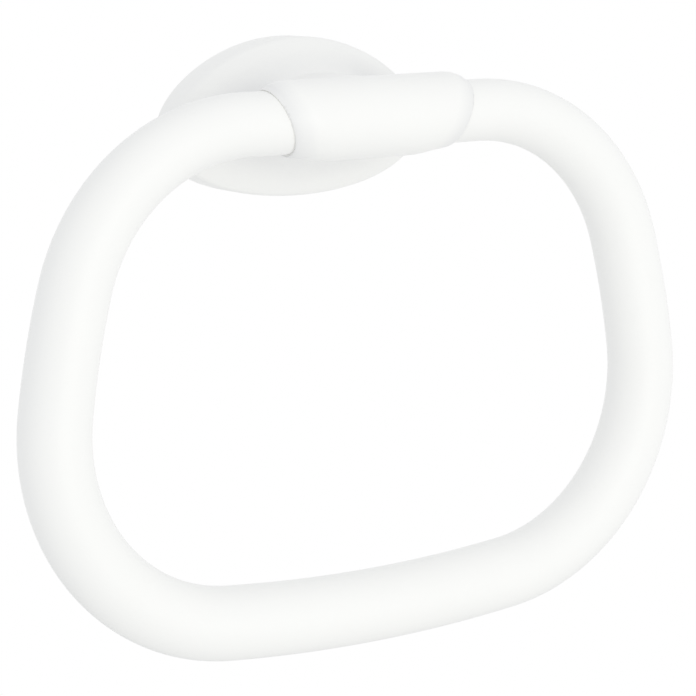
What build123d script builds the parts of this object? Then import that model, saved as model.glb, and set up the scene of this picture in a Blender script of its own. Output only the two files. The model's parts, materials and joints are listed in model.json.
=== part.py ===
import os
from math import cos, pi, radians, sin, sqrt

from build123d import *

# Holder: stout egg-shaped wall plate, neck and head in one moulding
plate_width = 86.8
plate_height = 47.7
plate_skew = 0.165      # share by which the plate is wider at its bottom and narrower at its top
plate_edge = 8.5        # straight side that stands on the wall
flare_depth = 14.0      # from the straight side to the neck
neck_inset = 9.8        # the neck's sides behind the ends of the head
neck_height = 23.0
neck_blend = 5.0        # fillet where the neck runs into the head
projection = 46.2       # wall to the ring's axis
axis_rise = 2.0         # ring's axis above the plate's centre
head_length = 61.6      # along the axis, between the slanted ends
head_wall = 2.7         # around the sockets
end_slant = 31.4        # degrees, the ends lean inwards towards the bottom
shoulder_length = 10.3  # tapered part at each end of the head
shoulder_rest = 1.9     # length by which the oval that the taper follows goes on past the end
shoulder_drop = 5.0     # half height of that oval

# Ring: straight ends in the sockets, then tangent arcs down to the middle of the bottom
end_diameter = 18.2
corner_diameter = 20.1  # at the end of the top corner
bottom_diameter = 21.6
end_straight = 9.2      # end of the head to the first arc
top_corner_radius = 57.2
top_corner_angle = 74.4
side_radius = 251.0
side_angle = 8.0
bottom_corner_radius = 59.1
bottom_corner_angle = 91.8
end_edge = 0.8          # rounding of the plugged ends

# Sockets in the head that the ring's ends turn in
socket_depth = 13.0     # along the axis, from the slanted end to the socket's floor
socket_clearance = 0.08
socket_end_gap = 0.5
mouth_chamfer = 0.12

# Hollow back of the holder
rim_wall = 3.2
pocket_wall = 4.0       # beside the pocket's floor
pocket_depth = 12.0
neck_wall = 3.6
core_web = 4.0          # between the core up the neck and the sockets

# Wall bracket that the holder is pushed onto
bracket_thickness = 4.0
bracket_clearance = 0.3
spigot_depth = 31.0     # wall to the front of the spigot
spigot_wall = 2.6
spigot_chamfer = 1.0
screw_spacing = 52.0
screw_hole_diameter = 4.5
screw_head_diameter = 8.6

# Headless screw under the neck that locks the holder to the bracket
set_screw_diameter = 4.0
set_screw_clearance = 0.05
set_screw_depth = 25.5  # wall to the screw's axis
set_screw_length = 3.6
set_screw_point = 0.8
hex_size = 2.0          # across the flats
hex_depth = 2.0

wall_plane = Plane.XZ
axis_plane = wall_plane.offset(projection)
socket_radius = end_diameter / 2 + socket_clearance
head_radius = socket_radius + head_wall
socket_floor = head_length / 2 - socket_depth
end_run = head_length / 2 + end_straight
shoulder_start = head_length / 2 - shoulder_length
neck_width = head_length - 2 * neck_inset
neck_depth = plate_edge + flare_depth
core_floor = projection - socket_radius - core_web
core_half_width = neck_width / 2 - neck_wall
core_half_height = neck_height / 2 - neck_wall
spigot_half_width = core_half_width - bracket_clearance
spigot_half_height = core_half_height - bracket_clearance
head_steps = 12         # ovals from the middle of the head to each end
flare_steps = 12
oval_points = 24        # points of the spline round each oval of the plate


def head_oval(x):
    taper = max(abs(x) - shoulder_start, 0) / (shoulder_length + shoulder_rest)
    radius = head_radius - shoulder_drop * (1 - sqrt(1 - taper**2))
    lean = radians(end_slant) * min(max(x / shoulder_start, -1), 1)
    return radius, lean


def flare_share(depth):
    run = max(depth - plate_edge, 0) / flare_depth
    return (1 - cos(pi * run)) / 2


def flare_half(share):
    width = plate_width + (neck_width - plate_width) * share
    height = plate_height + (neck_height - plate_height) * share
    return width / 2, height / 2


def pocket_half(depth):
    rim = [half - rim_wall for half in flare_half(0)]
    floor = [half - pocket_wall for half in flare_half(flare_share(pocket_depth))]
    return [near + (far - near) * depth / pocket_depth for near, far in zip(rim, floor)]


def draw_oval(half_width, half_height, share=0.0):
    points = []
    for step in range(oval_points):
        turn = 2 * pi * step / oval_points
        spread = 1 - plate_skew * (1 - share) * sin(turn)
        points.append((half_width * spread * cos(turn), half_height * sin(turn) + axis_rise * share))
    with BuildLine() as outline:
        Spline(*points, periodic=True)
    make_face(outline.edges())


with BuildPart() as holder:
    # Head, ovals that lean more and more towards its slanted, tapered ends
    for step in range(-head_steps, head_steps + 1):
        x = head_length / 2 * step / head_steps
        radius, lean = head_oval(x)
        downwards = (-sin(lean), 0, -cos(lean))
        outwards = (cos(lean), 0, -sin(lean))
        with BuildSketch(Plane((x, -projection, axis_rise), x_dir=downwards, z_dir=outwards)):
            Ellipse(radius / cos(lean), radius)
    loft()

    # Straight neck that runs into the head
    with BuildSketch(wall_plane.offset(neck_depth)):
        draw_oval(*flare_half(1), share=1)
    extrude(amount=projection - neck_depth)
    fillet(holder.edges(Select.NEW), neck_blend)

    # Plate and flare, evenly spaced ovals from the wall to the neck
    for step in range(flare_steps + 1):
        depth = neck_depth * step / flare_steps
        share = flare_share(depth)
        with BuildSketch(wall_plane.offset(depth)):
            draw_oval(*flare_half(share), share=share)
    loft()

    # Hollow back: a tapered pocket in the plate and a core up the neck
    for depth in (0, pocket_depth):
        with BuildSketch(wall_plane.offset(depth)):
            draw_oval(*pocket_half(depth))
    loft(mode=Mode.SUBTRACT)
    with BuildSketch(wall_plane):
        with Locations((0, axis_rise)):
            Ellipse(core_half_width, core_half_height)
    extrude(amount=core_floor, mode=Mode.SUBTRACT)

    # Sockets with a bevelled mouth
    for side in (-1, 1):
        with BuildSketch(Plane.YZ.offset(side * socket_floor)):
            with Locations((-projection, axis_rise)):
                Circle(socket_radius)
        extrude(amount=side * head_length, mode=Mode.SUBTRACT)
        mouth = holder.edges(Select.NEW).filter_by(GeomType.CIRCLE, reverse=True)
        chamfer(mouth, mouth_chamfer)

    # Hole for the locking screw, from below into the core
    with BuildSketch(Plane.XY.offset(axis_rise)):
        with Locations((0, -set_screw_depth)):
            Circle(set_screw_diameter / 2 + set_screw_clearance)
    extrude(amount=-plate_height, mode=Mode.SUBTRACT)
holder.part.label = "holder"

with BuildPart() as ring:
    bottom_angle = 180 - top_corner_angle - side_angle - bottom_corner_angle
    with BuildLine(axis_plane) as half_loop:
        run = Line((socket_floor + socket_end_gap, axis_rise), (end_run, axis_rise))
        top_corner = JernArc(run @ 1, run % 1, top_corner_radius, -top_corner_angle)
        side_arc = JernArc(top_corner @ 1, top_corner % 1, side_radius, -side_angle)
        bottom_corner = JernArc(side_arc @ 1, side_arc % 1, bottom_corner_radius, -bottom_corner_angle)
        bottom_radius = (bottom_corner @ 1).X / sin(radians(bottom_angle))
        bottom = JernArc(bottom_corner @ 1, bottom_corner % 1, bottom_radius, -bottom_angle)

    # The section grows along the top corner, then more slowly to the end of the bottom corner
    growth = (bottom_diameter - corner_diameter) / (side_arc.length + bottom_corner.length)
    side_diameter = corner_diameter + growth * side_arc.length
    stations = (
        (run, 0, end_diameter),
        (run, 1, end_diameter),
        (top_corner, 1, corner_diameter),
        (side_arc, 1, side_diameter),
        (bottom_corner, 1, bottom_diameter),
        (bottom, 1, bottom_diameter),
    )
    for edge, share, diameter in stations:
        with BuildSketch(Plane(edge @ share, x_dir=(0, 1, 0), z_dir=edge % share)):
            Circle(diameter / 2)
    sweep(path=half_loop.wire(), multisection=True)
    mirror(about=Plane.YZ)
    fillet(ring.faces().filter_by(GeomType.PLANE).edges(), end_edge)
ring.part.label = "ring"

with BuildPart() as wall_bracket:
    # Plate with a bevelled edge that follows the pocket's wall
    for depth in (0, bracket_thickness):
        with BuildSketch(wall_plane.offset(depth)):
            draw_oval(*[half - bracket_clearance for half in pocket_half(depth)])
    loft()

    # Spigot that fills the core up the neck, hollow from behind
    with BuildSketch(wall_plane):
        with Locations((0, axis_rise)):
            Ellipse(spigot_half_width, spigot_half_height)
    extrude(amount=spigot_depth)
    chamfer(wall_bracket.faces().sort_by(Axis.Y)[0].edges(), spigot_chamfer)
    with BuildSketch(wall_plane):
        with Locations((0, axis_rise)):
            Ellipse(spigot_half_width - spigot_wall, spigot_half_height - spigot_wall)
    extrude(amount=spigot_depth - spigot_wall, mode=Mode.SUBTRACT)
    with Locations(wall_plane.offset(bracket_thickness)):
        with GridLocations(screw_spacing, screw_spacing, 2, 1):
            CounterSinkHole(screw_hole_diameter / 2, screw_head_diameter / 2)
wall_bracket.part.label = "wall_bracket"

with BuildPart() as set_screw:
    screw_top = axis_rise - spigot_half_height
    with BuildSketch(Plane.XY.offset(screw_top)):
        with Locations((0, -set_screw_depth)):
            Circle(set_screw_diameter / 2)
    extrude(amount=-set_screw_length)
    chamfer(set_screw.edges().sort_by(Axis.Z)[-1], set_screw_point)
    with BuildSketch(Plane.XY.offset(screw_top - set_screw_length)):
        with Locations((0, -set_screw_depth)):
            RegularPolygon(hex_size / 2, 6, major_radius=False)
    extrude(amount=hex_depth, mode=Mode.SUBTRACT)
set_screw.part.label = "set_screw"

os.makedirs("parts", exist_ok=True)
for piece in (holder, ring, wall_bracket, set_screw):
    export_step(piece.part, f"parts/{piece.part.label}.step")
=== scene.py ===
import json
from math import cos, pi, radians, sin, tan

import bmesh
import bpy
from mathutils import Matrix, Vector

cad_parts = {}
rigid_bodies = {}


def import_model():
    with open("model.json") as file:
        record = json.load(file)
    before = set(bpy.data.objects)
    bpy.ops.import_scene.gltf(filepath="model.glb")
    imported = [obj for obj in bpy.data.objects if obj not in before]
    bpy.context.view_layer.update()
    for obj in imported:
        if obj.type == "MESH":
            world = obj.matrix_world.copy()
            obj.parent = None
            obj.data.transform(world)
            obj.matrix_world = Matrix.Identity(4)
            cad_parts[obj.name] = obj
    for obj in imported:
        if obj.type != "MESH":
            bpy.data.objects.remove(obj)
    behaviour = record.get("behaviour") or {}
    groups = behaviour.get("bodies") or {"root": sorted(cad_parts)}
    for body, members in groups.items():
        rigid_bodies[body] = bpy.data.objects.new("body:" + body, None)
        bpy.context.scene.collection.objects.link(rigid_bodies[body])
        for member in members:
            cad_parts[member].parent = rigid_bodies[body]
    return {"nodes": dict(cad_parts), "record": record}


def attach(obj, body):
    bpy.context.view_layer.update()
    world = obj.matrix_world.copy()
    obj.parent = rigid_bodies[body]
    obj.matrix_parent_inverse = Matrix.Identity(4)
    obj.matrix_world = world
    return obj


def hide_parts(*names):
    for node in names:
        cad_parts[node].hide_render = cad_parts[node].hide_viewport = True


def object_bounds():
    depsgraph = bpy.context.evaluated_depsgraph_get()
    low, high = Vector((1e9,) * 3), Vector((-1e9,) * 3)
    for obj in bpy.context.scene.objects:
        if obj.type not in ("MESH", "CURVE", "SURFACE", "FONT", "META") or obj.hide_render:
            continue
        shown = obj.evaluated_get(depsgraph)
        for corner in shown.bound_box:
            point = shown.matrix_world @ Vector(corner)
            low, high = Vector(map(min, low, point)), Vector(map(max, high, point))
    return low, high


for leftover in list(bpy.data.objects):  # Blender's own startup cube, lamp and camera
    bpy.data.objects.remove(leftover)
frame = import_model()
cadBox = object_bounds()
scene = bpy.context.scene
ringAxis = frame["record"]["behaviour"]["joints"][0]["pos_m"]  # middle of the axis that the ring turns on


def addNode(tree, kind, **settings):
    node = tree.nodes.new(kind)
    for name, value in settings.items():
        setattr(node, name, value)
    return node


def plug(tree, value, socket):  # a socket is linked, anything else is set as the socket's own value
    if isinstance(value, bpy.types.NodeSocket):
        tree.links.new(value, socket)
    else:
        socket.default_value = value


def setInputs(node, values):
    for label, value in values.items():
        node.inputs[label].default_value = value


def calc(tree, operation, *values):
    node = addNode(tree, "ShaderNodeMath", operation=operation)
    for value, socket in zip(values, node.inputs):
        plug(tree, value, socket)
    return node.outputs[0]


def remap(tree, value, first, last, least, most):  # least at first, most at last, and held beyond them
    node = addNode(tree, "ShaderNodeMapRange")
    for label, number in (("Value", value), ("From Min", first), ("From Max", last),
                          ("To Min", least), ("To Max", most)):
        plug(tree, number, node.inputs[label])
    return node.outputs["Result"]


def sockets(kind, *labels):
    return [(label, "NodeSocket" + kind) for label in labels]


def newGroup(name, kind, inputs, outputs):
    tree = bpy.data.node_groups.new(name, kind)
    for label, socketType in inputs:
        tree.interface.new_socket(label, in_out="INPUT", socket_type=socketType)
    for label, socketType in outputs:
        tree.interface.new_socket(label, in_out="OUTPUT", socket_type=socketType)
    return tree, addNode(tree, "NodeGroupInput").outputs, addNode(tree, "NodeGroupOutput").inputs


# Shared surface effect: faint mottling of colour and gloss, painted shade from a given mask, and the slow
# ripple of a moulded skin
noiseDetail = {"Mottle Size": 3.0, "Grain Size": 2.0, "Ripple Size": 1.0}
noiseMiddle = 0.5  # the value that the noise varies about


def buildSkinGroup():
    tree, given, out = newGroup(
        "castSkin", "ShaderNodeTree",
        sockets("Color", "Light Tint", "Dark Tint", "Painted Shade Tint")
        + sockets("Float", "Mottle Size", "Roughness", "Roughness Spread", "Grain Size")
        + sockets("Float", "Ripple Size", "Ripple Height", "Grain Height", "Painted Shade"),
        sockets("Color", "Color") + sockets("Float", "Roughness", "Height"))
    place = addNode(tree, "ShaderNodeTexCoord").outputs["Object"]

    def cloud(label):
        noise = addNode(tree, "ShaderNodeTexNoise")
        plug(tree, place, noise.inputs["Vector"])
        plug(tree, calc(tree, "DIVIDE", 1.0, given[label]), noise.inputs["Scale"])
        noise.inputs["Detail"].default_value = noiseDetail[label]
        return noise.outputs["Fac"]

    def blendTint(share, first, second):
        tint = addNode(tree, "ShaderNodeMix", data_type="RGBA")
        colourIn = [socket for socket in tint.inputs if socket.type == "RGBA"]
        plug(tree, share, tint.inputs["Factor"])
        plug(tree, first, colourIn[0])
        plug(tree, second, colourIn[1])
        return [socket for socket in tint.outputs if socket.type == "RGBA"][0]

    clean = blendTint(cloud("Mottle Size"), given["Dark Tint"], given["Light Tint"])
    # painted shade: the colour is mixed towards the shade tint by the given mask
    plug(tree, blendTint(given["Painted Shade"], clean, given["Painted Shade Tint"]), out["Color"])
    grain = cloud("Grain Size")
    wander = calc(tree, "MULTIPLY", calc(tree, "SUBTRACT", grain, noiseMiddle), given["Roughness Spread"])
    plug(tree, calc(tree, "ADD", given["Roughness"], wander), out["Roughness"])
    slow = calc(tree, "MULTIPLY", cloud("Ripple Size"), given["Ripple Height"])
    fine = calc(tree, "MULTIPLY", grain, given["Grain Height"])
    plug(tree, calc(tree, "ADD", slow, fine), out["Height"])
    return tree


skinGroup = buildSkinGroup()


# Painted shade of the holder: darker in its hollows and on the head up to the joint lines, none inside the
# sockets
def holderPaintedShade(tree, look):
    place = addNode(tree, "ShaderNodeSeparateXYZ")
    plug(tree, addNode(tree, "ShaderNodeTexCoord").outputs["Object"], place.inputs[0])
    depth = calc(tree, "SUBTRACT", place.outputs["Y"], ringAxis[1])
    rise = calc(tree, "SUBTRACT", place.outputs["Z"], ringAxis[2])
    reach = calc(tree, "SQRT", calc(tree, "ADD", calc(tree, "MULTIPLY", rise, rise),
                                    calc(tree, "MULTIPLY", depth, depth)))
    outside = calc(tree, "GREATER_THAN", reach, look["socketRadius"])
    onHead = calc(tree, "LESS_THAN", reach, look["headRadius"])

    # painted shade in creases from ambient occlusion; only the holder's own shape counts, so the painted
    # shade stays put when the ring swings
    hollow = addNode(tree, "ShaderNodeAmbientOcclusion", samples=look["samples"], only_local=True)
    hollow.inputs["Distance"].default_value = look["creaseReach"]
    crease = remap(tree, hollow.outputs["AO"], look["openShare"], look["shutShare"], 0.0, look["creaseShade"])
    # painted shade on the head's shoulders, darkest at the joint lines
    along = calc(tree, "MULTIPLY_ADD", rise, -look["slope"], calc(tree, "ABSOLUTE", place.outputs["X"]))
    jointStart = look["headHalf"] - look["jointReach"]
    joint = remap(tree, along, jointStart, look["headHalf"], 0.0, look["jointShade"])
    both = calc(tree, "MAXIMUM", crease, calc(tree, "MULTIPLY", joint, onHead))
    return calc(tree, "MULTIPLY", both, outside)


def skinMaterial(name, look):
    material = bpy.data.materials.new(name)
    material.use_nodes = True
    tree = material.node_tree
    shader = tree.nodes["Principled BSDF"]
    setInputs(shader, look["shader"])
    skin = addNode(tree, "ShaderNodeGroup", node_tree=skinGroup)
    setInputs(skin, look["skin"])
    bump = addNode(tree, "ShaderNodeBump")
    setInputs(bump, {"Distance": 1.0, "Strength": look["bump"]})  # the group's heights are in metres
    # the holder's painted shade mask drives the skin's shade tint
    if "paintedShade" in look:
        plug(tree, holderPaintedShade(tree, look["paintedShade"]), skin.inputs["Painted Shade"])
    plug(tree, skin.outputs["Color"], shader.inputs["Base Color"])
    plug(tree, skin.outputs["Roughness"], shader.inputs["Roughness"])
    plug(tree, skin.outputs["Height"], bump.inputs["Height"])
    plug(tree, bump.outputs["Normal"], shader.inputs["Normal"])
    return material


# Smooth white moulding of the ring and the holder
whiteLook = {
    "skin": {
        "Light Tint": (0.945, 0.945, 0.92, 1), "Dark Tint": (0.93, 0.93, 0.905, 1), "Mottle Size": 0.03,
        "Roughness": 0.38, "Roughness Spread": 0.08, "Grain Size": 0.0016,
        "Ripple Size": 0.009, "Ripple Height": 0.00004, "Grain Height": 0.000002,
        # colour of the painted shade in hollows and at the joint lines
        "Painted Shade Tint": (0.68, 0.685, 0.70, 1),
    },
    "shader": {"IOR": 1.49, "Specular IOR Level": 0.3},
    "bump": 0.35,
}
# Die-cast bracket behind the plate
bracketLook = {
    "skin": {
        "Light Tint": (0.74, 0.745, 0.75, 1), "Dark Tint": (0.60, 0.61, 0.62, 1), "Mottle Size": 0.006,
        "Roughness": 0.46, "Roughness Spread": 0.2, "Grain Size": 0.0006,
        "Ripple Size": 0.004, "Ripple Height": 0.00006, "Grain Height": 0.00004,
    },
    "shader": {"Metallic": 1.0},
    "bump": 0.6,
}
# Bright steel of the locking screw
screwLook = {
    "skin": {
        "Light Tint": (0.60, 0.61, 0.63, 1), "Dark Tint": (0.47, 0.48, 0.50, 1), "Mottle Size": 0.0012,
        "Roughness": 0.3, "Roughness Spread": 0.15, "Grain Size": 0.0003,
        "Ripple Size": 0.001, "Ripple Height": 0.000004, "Grain Height": 0.000006,
    },
    "shader": {"Metallic": 1.0},
    "bump": 0.5,
}
whitePlastic = skinMaterial("whitePlastic", whiteLook)
castMetal = skinMaterial("castMetal", bracketLook)
screwSteel = skinMaterial("screwSteel", screwLook)
for nodeName, material in (("wall_bracket", castMetal), ("set_screw", screwSteel)):
    mesh = frame["nodes"][nodeName].data
    mesh.materials.clear()
    mesh.materials.append(material)
print("materials: white plastic, cast metal, screw steel")


# Holder: the CAD shape, with the head's ends slid to the steeper joint lines of the photo
holderShape = {
    "cadSlant": radians(31.4), "slant": radians(20.0),
    # where the slide starts and is complete: along the leaning head, past the socket's floor, off the wall
    "along": (0.018, 0.029), "across": (0.0185, 0.0245), "depth": (-0.029, -0.034),
    "merge": 1e-6, "sharp": radians(30),
}
# the holder's painted shade: crease darkening from ambient occlusion, and a darker band up to the joint
# lines
holderLook = dict(whiteLook, paintedShade={
    "creaseReach": 0.05, "openShare": 0.9, "shutShare": 0.6, "creaseShade": 1.3, "samples": 16,
    "jointReach": 0.007, "jointShade": 0.32, "headHalf": 0.0308, "slope": tan(holderShape["slant"]),
    "headRadius": 0.0125, "socketRadius": 0.00945,
})


def easeBetween(value, span):
    first, last = span
    share = min(max((value - first) / (last - first), 0.0), 1.0)
    return share * share * (3 - 2 * share)


def steepenEnds(shape, skin):
    mesh = frame["nodes"]["holder"].data.copy()
    edit = bmesh.new()
    edit.from_mesh(mesh)
    bmesh.ops.remove_doubles(edit, verts=edit.verts, dist=shape["merge"])
    cadSlope, slope = tan(shape["cadSlant"]), tan(shape["slant"])
    for vert in edit.verts:
        rise = vert.co.z - ringAxis[2]
        across = abs(vert.co.x)
        share = easeBetween(across - rise * cadSlope, shape["along"]) * easeBetween(across, shape["across"])
        share *= easeBetween(vert.co.y, shape["depth"])
        side = 1 if vert.co.x > 0 else -1
        vert.co.x -= side * rise * (cadSlope - slope) * share
    for face in edit.faces:
        face.smooth = True
    edit.to_mesh(mesh)
    edit.free()
    mesh.set_sharp_from_angle(angle=shape["sharp"])
    mesh.materials.clear()
    mesh.materials.append(skin)
    piece = bpy.data.objects.new("holderShell", mesh)
    scene.collection.objects.link(piece)
    return piece


holderShell = steepenEnds(holderShape, skinMaterial("holderPlastic", holderLook))
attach(holderShell, "wall_holder")
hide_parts("holder")
print("holder shell:", len(holderShell.data.polygons), "faces")


# Ring: one tube swept round a loop of tangent arcs, thin at the sockets and stout along the bottom
ringShape = {
    "End Start": 0.0183, "End Run": 0.040,  # middle of the head to the plugged end and to the first arc
    "Top Radius": 0.0572, "Top Angle": radians(74.4),
    "Side Radius": 0.251, "Side Angle": radians(8.0),
    "Corner Radius": 0.0591, "Corner Angle": radians(91.8),
    "End Diameter": 0.01833, "Side Diameter": 0.0201, "Bottom Diameter": 0.0216,
    "Stations": 640, "Sides": 64,
}
arcNames = ("Top", "Side", "Corner")
allArcs = arcNames + ("Bottom",)


def closeLoop(shape):  # the bottom arc that meets its mirror image square on the middle plane
    heading, across = 0.0, shape["End Run"]
    for arc in arcNames:
        turned = heading + shape[arc + " Angle"]
        across += shape[arc + " Radius"] * (sin(turned) - sin(heading))
        heading = turned
    return across / sin(pi - heading), pi - heading


def buildArcGroup():  # how far an arc has gone across and down when the path has travelled so far
    tree, given, out = newGroup(
        "arcRun", "GeometryNodeTree",
        sockets("Float", "Travel", "Start", "Heading", "Radius", "Angle"),
        sockets("Float", "Across", "Drop", "End", "End Heading"))
    gone = calc(tree, "SUBTRACT", given["Travel"], given["Start"])
    swing = calc(tree, "MAXIMUM", calc(tree, "DIVIDE", gone, given["Radius"]), 0.0)
    now = calc(tree, "ADD", given["Heading"], calc(tree, "MINIMUM", swing, given["Angle"]))
    for wave, label in (("SINE", "Across"), ("COSINE", "Drop")):
        change = calc(tree, "SUBTRACT", calc(tree, wave, now), calc(tree, wave, given["Heading"]))
        plug(tree, calc(tree, "MULTIPLY", change, given["Radius"]), out[label])
    plug(tree, calc(tree, "MULTIPLY_ADD", given["Radius"], given["Angle"], given["Start"]), out["End"])
    plug(tree, calc(tree, "ADD", given["Heading"], given["Angle"]), out["End Heading"])
    return tree


def buildRingTree():
    arcGroup = buildArcGroup()
    arcLabels = [arc + part for arc in allArcs for part in (" Radius", " Angle")]
    tree, given, out = newGroup(
        "ringLoop", "GeometryNodeTree",
        sockets("Geometry", "Geometry") + sockets("Vector", "Axis")
        + sockets("Float", "End Start", "End Run", *arcLabels)
        + sockets("Float", "End Diameter", "Side Diameter", "Bottom Diameter")
        + sockets("Int", "Stations", "Sides") + sockets("Material", "Skin"),
        sockets("Geometry", "Geometry"))

    # half length of the path, added up arc by arc
    start, half = given["End Run"], {}
    for arc in allArcs:
        start = calc(tree, "MULTIPLY_ADD", given[arc + " Radius"], given[arc + " Angle"], start)
        half[arc] = start

    # factor 0 is the left end, 1 the right end, and 0.5 the middle of the bottom
    factor = addNode(tree, "GeometryNodeSplineParameter").outputs["Factor"]
    side = calc(tree, "MULTIPLY_ADD", factor, 2.0, -1.0)
    reach = calc(tree, "SUBTRACT", given["End Start"], half["Bottom"])
    travel = calc(tree, "MULTIPLY_ADD", calc(tree, "ABSOLUTE", side), reach, half["Bottom"])

    across = calc(tree, "MINIMUM", travel, given["End Run"])
    height, begin, heading = 0.0, given["End Run"], 0.0
    for arc in allArcs:
        run = addNode(tree, "GeometryNodeGroup", node_tree=arcGroup)
        for label, value in (("Travel", travel), ("Start", begin), ("Heading", heading),
                             ("Radius", given[arc + " Radius"]), ("Angle", given[arc + " Angle"])):
            plug(tree, value, run.inputs[label])
        across = calc(tree, "ADD", across, run.outputs["Across"])
        height = calc(tree, "ADD", height, run.outputs["Drop"])
        begin, heading = run.outputs["End"], run.outputs["End Heading"]
    place = addNode(tree, "ShaderNodeCombineXYZ")
    plug(tree, calc(tree, "MULTIPLY", across, calc(tree, "SIGN", side)), place.inputs["X"])
    plug(tree, height, place.inputs["Z"])
    onAxis = addNode(tree, "ShaderNodeVectorMath", operation="ADD")
    plug(tree, place.outputs[0], onAxis.inputs[0])
    plug(tree, given["Axis"], onAxis.inputs[1])

    # the tube grows along the top corner, then more slowly to the end of the bottom corner
    quick = remap(tree, travel, given["End Run"], half["Top"], given["End Diameter"], given["Side Diameter"])
    gain = calc(tree, "SUBTRACT", given["Bottom Diameter"], given["Side Diameter"])
    width = calc(tree, "ADD", quick, remap(tree, travel, half["Top"], half["Corner"], 0.0, gain))

    line = addNode(tree, "GeometryNodeCurvePrimitiveLine")
    spaced = addNode(tree, "GeometryNodeResampleCurve")
    plug(tree, line.outputs["Curve"], spaced.inputs["Curve"])
    plug(tree, given["Stations"], spaced.inputs["Count"])
    bent = addNode(tree, "GeometryNodeSetPosition")
    plug(tree, spaced.outputs["Curve"], bent.inputs["Geometry"])
    plug(tree, onAxis.outputs[0], bent.inputs["Position"])
    section = addNode(tree, "GeometryNodeCurvePrimitiveCircle")
    plug(tree, given["Sides"], section.inputs["Resolution"])
    section.inputs["Radius"].default_value = 0.5  # one across, so that the scale is the tube's diameter
    tube = addNode(tree, "GeometryNodeCurveToMesh")
    plug(tree, bent.outputs["Geometry"], tube.inputs["Curve"])
    plug(tree, section.outputs["Curve"], tube.inputs["Profile Curve"])
    plug(tree, width, tube.inputs["Scale"])
    tube.inputs["Fill Caps"].default_value = True
    smooth = addNode(tree, "GeometryNodeSetShadeSmooth")
    plug(tree, tube.outputs["Mesh"], smooth.inputs["Geometry"])
    real = addNode(tree, "GeometryNodeRealizeInstances")
    plug(tree, smooth.outputs["Geometry"], real.inputs["Geometry"])
    coated = addNode(tree, "GeometryNodeSetMaterial")
    plug(tree, real.outputs["Geometry"], coated.inputs["Geometry"])
    plug(tree, given["Skin"], coated.inputs["Material"])
    plug(tree, coated.outputs["Geometry"], out["Geometry"])
    return tree


def growMesh(name, tree, values):  # runs a tree on an empty mesh and keeps the plain result
    host = bpy.data.objects.new(name + "Host", bpy.data.meshes.new(name + "Host"))
    scene.collection.objects.link(host)
    modifier = host.modifiers.new(tree.name, "NODES")
    modifier.node_group = tree
    for item in tree.interface.items_tree:
        if item.in_out == "INPUT" and item.name in values:
            modifier[item.identifier] = values[item.name]
    evaluated = host.evaluated_get(bpy.context.evaluated_depsgraph_get())
    mesh = bpy.data.meshes.new_from_object(evaluated)
    host.modifiers.remove(modifier)
    bpy.data.objects.remove(host)
    piece = bpy.data.objects.new(name, mesh)
    scene.collection.objects.link(piece)
    return piece


bottomRadius, bottomAngle = closeLoop(ringShape)
ringValues = dict(ringShape, **{"Bottom Radius": bottomRadius, "Bottom Angle": bottomAngle,
                                "Axis": ringAxis, "Skin": whitePlastic})
ringTube = growMesh("ringTube", buildRingTree(), ringValues)
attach(ringTube, "swing_ring")
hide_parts("ring")
print("ring tube:", len(ringTube.data.polygons), "faces")


# Floor: a pale disc well below the object, which gives a little light back from underneath
floorLook = {
    "height": -0.32, "radius": 0.42, "sides": 96,
    "shader": {"Base Color": (0.90, 0.90, 0.89, 1), "Roughness": 0.8},
}


def makeFloor(look):
    turn = 2 * pi / look["sides"]
    rim = [(look["radius"] * cos(turn * k), look["radius"] * sin(turn * k), look["height"])
           for k in range(look["sides"])]
    mesh = bpy.data.meshes.new("floor")
    mesh.from_pydata(rim, [], [range(look["sides"])])
    floor = bpy.data.objects.new("floor", mesh)
    scene.collection.objects.link(floor)
    material = bpy.data.materials.new("paleFloor")
    material.use_nodes = True
    setInputs(material.node_tree.nodes["Principled BSDF"], look["shader"])
    mesh.materials.append(material)
    return floor


makeFloor(floorLook)
print("floor: a disc of radius", floorLook["radius"], "m")


# Soft light: warm panels from the front and from above, in an even cool room
panels = {
    "frontPanel": {"from": (0.0, -1.44, -0.06), "size": 1.1, "power": 4.2, "color": (1.0, 0.985, 0.93)},
    "topPanel": {"from": (0.0, -0.84, 1.1), "size": 1.1, "power": 0.6, "color": (1.0, 0.985, 0.93)},
}
room = {
    "glow": {"Color": (0.962, 0.972, 1.0, 1), "Strength": 0.865},
    "seen": {"Color": (1, 1, 1, 1)},
}


def addPanel(name, look, target):
    lamp = bpy.data.lights.new(name, "AREA")
    lamp.size, lamp.energy, lamp.color = look["size"], look["power"], look["color"]
    panel = bpy.data.objects.new(name, lamp)
    panel.location = look["from"]
    panel.rotation_euler = (target - panel.location).to_track_quat("-Z", "Y").to_euler()
    scene.collection.objects.link(panel)


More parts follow.
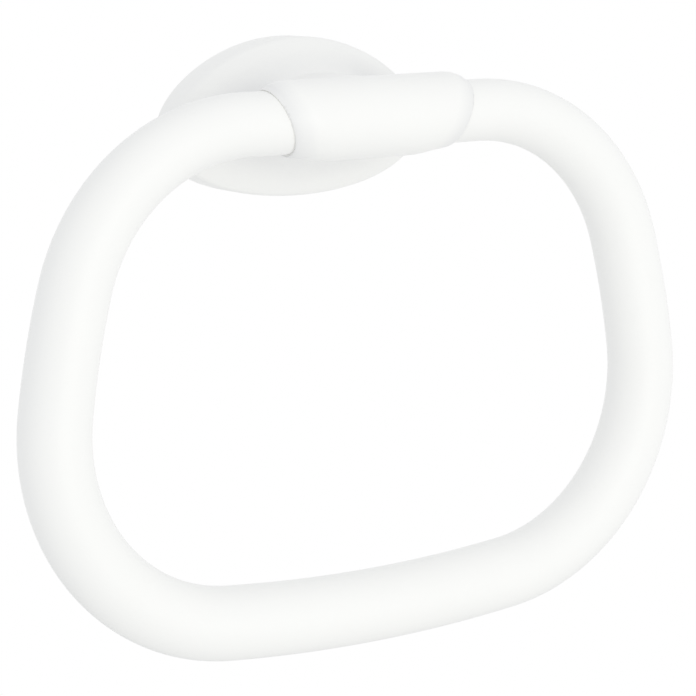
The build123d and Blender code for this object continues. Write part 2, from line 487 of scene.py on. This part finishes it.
def lightRoom(look):  # white where the camera or a reflection sees it, a little dimmer as light
    world = bpy.data.worlds.new("paleRoom")
    world.use_nodes = True
    scene.world = world
    tree = world.node_tree
    tree.nodes.clear()
    glow = addNode(tree, "ShaderNodeBackground")
    setInputs(glow, look["glow"])
    white = addNode(tree, "ShaderNodeBackground")
    setInputs(white, look["seen"])
    rays = addNode(tree, "ShaderNodeLightPath").outputs
    seen = calc(tree, "MAXIMUM", rays["Is Camera Ray"], rays["Is Glossy Ray"])
    seen = calc(tree, "MAXIMUM", seen, rays["Is Transmission Ray"])
    mix = addNode(tree, "ShaderNodeMixShader")
    plug(tree, seen, mix.inputs["Fac"])
    plug(tree, glow.outputs[0], mix.inputs[1])
    plug(tree, white.outputs[0], mix.inputs[2])
    plug(tree, mix.outputs[0], addNode(tree, "ShaderNodeOutputWorld").inputs["Surface"])


for panelName, panelLook in panels.items():
    addPanel(panelName, panelLook, (cadBox[0] + cadBox[1]) / 2)
lightRoom(room)
print("light: panels", sorted(panels), "and a pale room")


# Camera at the photograph's angle, turned towards a point inside the loop
shot = {
    "azimuth": 32.906, "elevation": 9.726, "roll": -0.697,  # degrees
    "distance": 0.7411, "lens": 131.55, "sensor": 36.0,
    "aim": (-0.0071, 0.0, -0.06686),  # from the middle of the ring's axis
}


def addCamera(look):
    turn, tilt, roll = (radians(look[name]) for name in ("azimuth", "elevation", "roll"))
    forward = Vector((sin(turn) * cos(tilt), cos(turn) * cos(tilt), -sin(tilt)))
    right = Vector((cos(turn), -sin(turn), 0))
    up = right.cross(forward)
    across = right * cos(roll) + up * sin(roll)
    upright = up * cos(roll) - right * sin(roll)
    data = bpy.data.cameras.new("photoCamera")
    data.lens, data.sensor_width, data.sensor_fit = look["lens"], look["sensor"], "HORIZONTAL"
    camera = bpy.data.objects.new("photoCamera", data)
    turned = Matrix((across, upright, -forward)).transposed()
    spot = Vector(ringAxis) + Vector(look["aim"]) - forward * look["distance"]
    camera.matrix_world = Matrix.Translation(spot) @ turned.to_4x4()
    scene.collection.objects.link(camera)
    scene.camera = camera


addCamera(shot)
scene.view_settings.view_transform = "Standard"
print("camera: lens", shot["lens"], "mm at", shot["distance"], "m")
